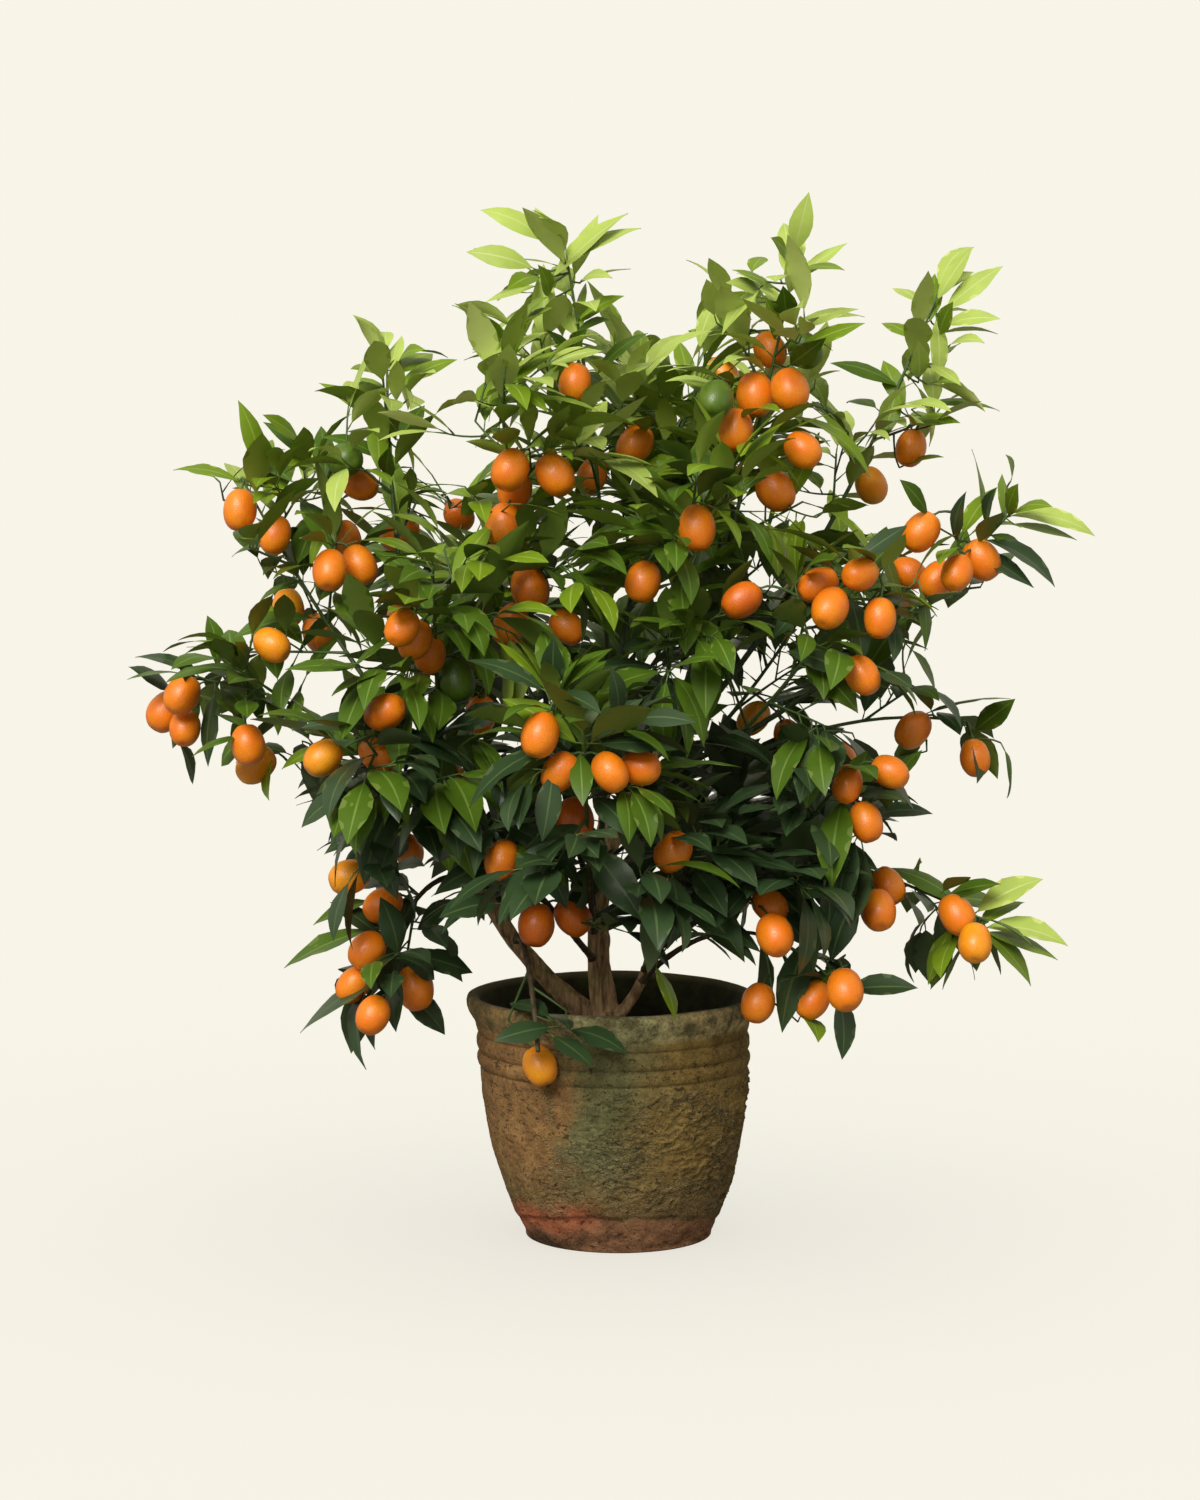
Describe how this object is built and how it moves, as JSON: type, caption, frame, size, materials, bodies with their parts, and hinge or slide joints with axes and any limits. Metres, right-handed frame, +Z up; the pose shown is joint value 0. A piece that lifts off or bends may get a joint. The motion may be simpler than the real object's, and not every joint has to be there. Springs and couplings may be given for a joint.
{
  "type": "potted kumquat tree",
  "caption": "Bushy kumquat tree with glossy leaves and oval orange fruit, growing in a weathered round clay pot.",
  "frame": {"origin": "middle of the pot's flat underside, on the surface that it stands on", "axes": "+Z up along the pot's axis; -Y is the side seen in the picture, with +X to the right"},
  "size_m": [0.7291, 0.6034, 0.7778],
  "materials": {
    "pot": "matte",
    "soil": "matte",
    "bark": "matte",
    "bough_bark": "matte",
    "foliage": "satin"
  },
  "bodies": {
    "root": {"bough_back_low_left": "bough_bark", "bough_back_low_right": "bough_bark", "bough_back_right": "bough_bark", "bough_back_top": "bough_bark", "bough_back_upper_left": "bough_bark", "bough_bottom_right": "bough_bark", "bough_centre_front": "bough_bark", "bough_centre_upper": "bough_bark", "bough_far_left": "bough_bark", "bough_far_right_top": "bough_bark", "bough_front_centre": "bough_bark", "bough_front_left": "bough_bark", "bough_front_left_low": "bough_bark", "bough_left_top": "bough_bark", "bough_left_upper": "bough_bark", "bough_low_left": "bough_bark", "bough_right_inner": "bough_bark", "bough_right_low": "bough_bark", "bough_right_middle": "bough_bark", "bough_right_thin": "bough_bark", "bough_right_upper": "bough_bark", "bough_top_left": "bough_bark", "bough_top_right": "bough_bark", "bough_upper_left": "bough_bark", "foliage_back_low_left": "foliage", "foliage_back_low_right": "foliage", "foliage_back_middle": "foliage", "foliage_back_right": "foliage", "foliage_back_top": "foliage", "foliage_back_upper_left": "foliage", "foliage_bottom_right": "foliage", "foliage_centre_front": "foliage", "foliage_centre_upper": "foliage", "foliage_far_left": "foliage", "foliage_far_right_top": "foliage", "foliage_front_centre": "foliage", "foliage_front_left": "foliage", "foliage_front_left_low": "foliage", "foliage_front_low": "foliage", "foliage_front_low_right": "foliage", "foliage_left_top": "foliage", "foliage_left_upper": "foliage", "foliage_low_left": "foliage", "foliage_right_inner": "foliage", "foliage_right_low": "foliage", "foliage_right_middle": "foliage", "foliage_right_thin": "foliage", "foliage_right_upper": "foliage", "foliage_rim_front": "foliage", "foliage_top_left": "foliage", "foliage_top_right": "foliage", "foliage_upper_left": "foliage", "pot": "pot", "soil": "soil", "stem_back": "bark", "stem_centre": "bark", "stem_left": "bark", "stem_low_right": "bark", "stem_right": "bark", "trunk": "bark"}
  },
  "joints": []
}
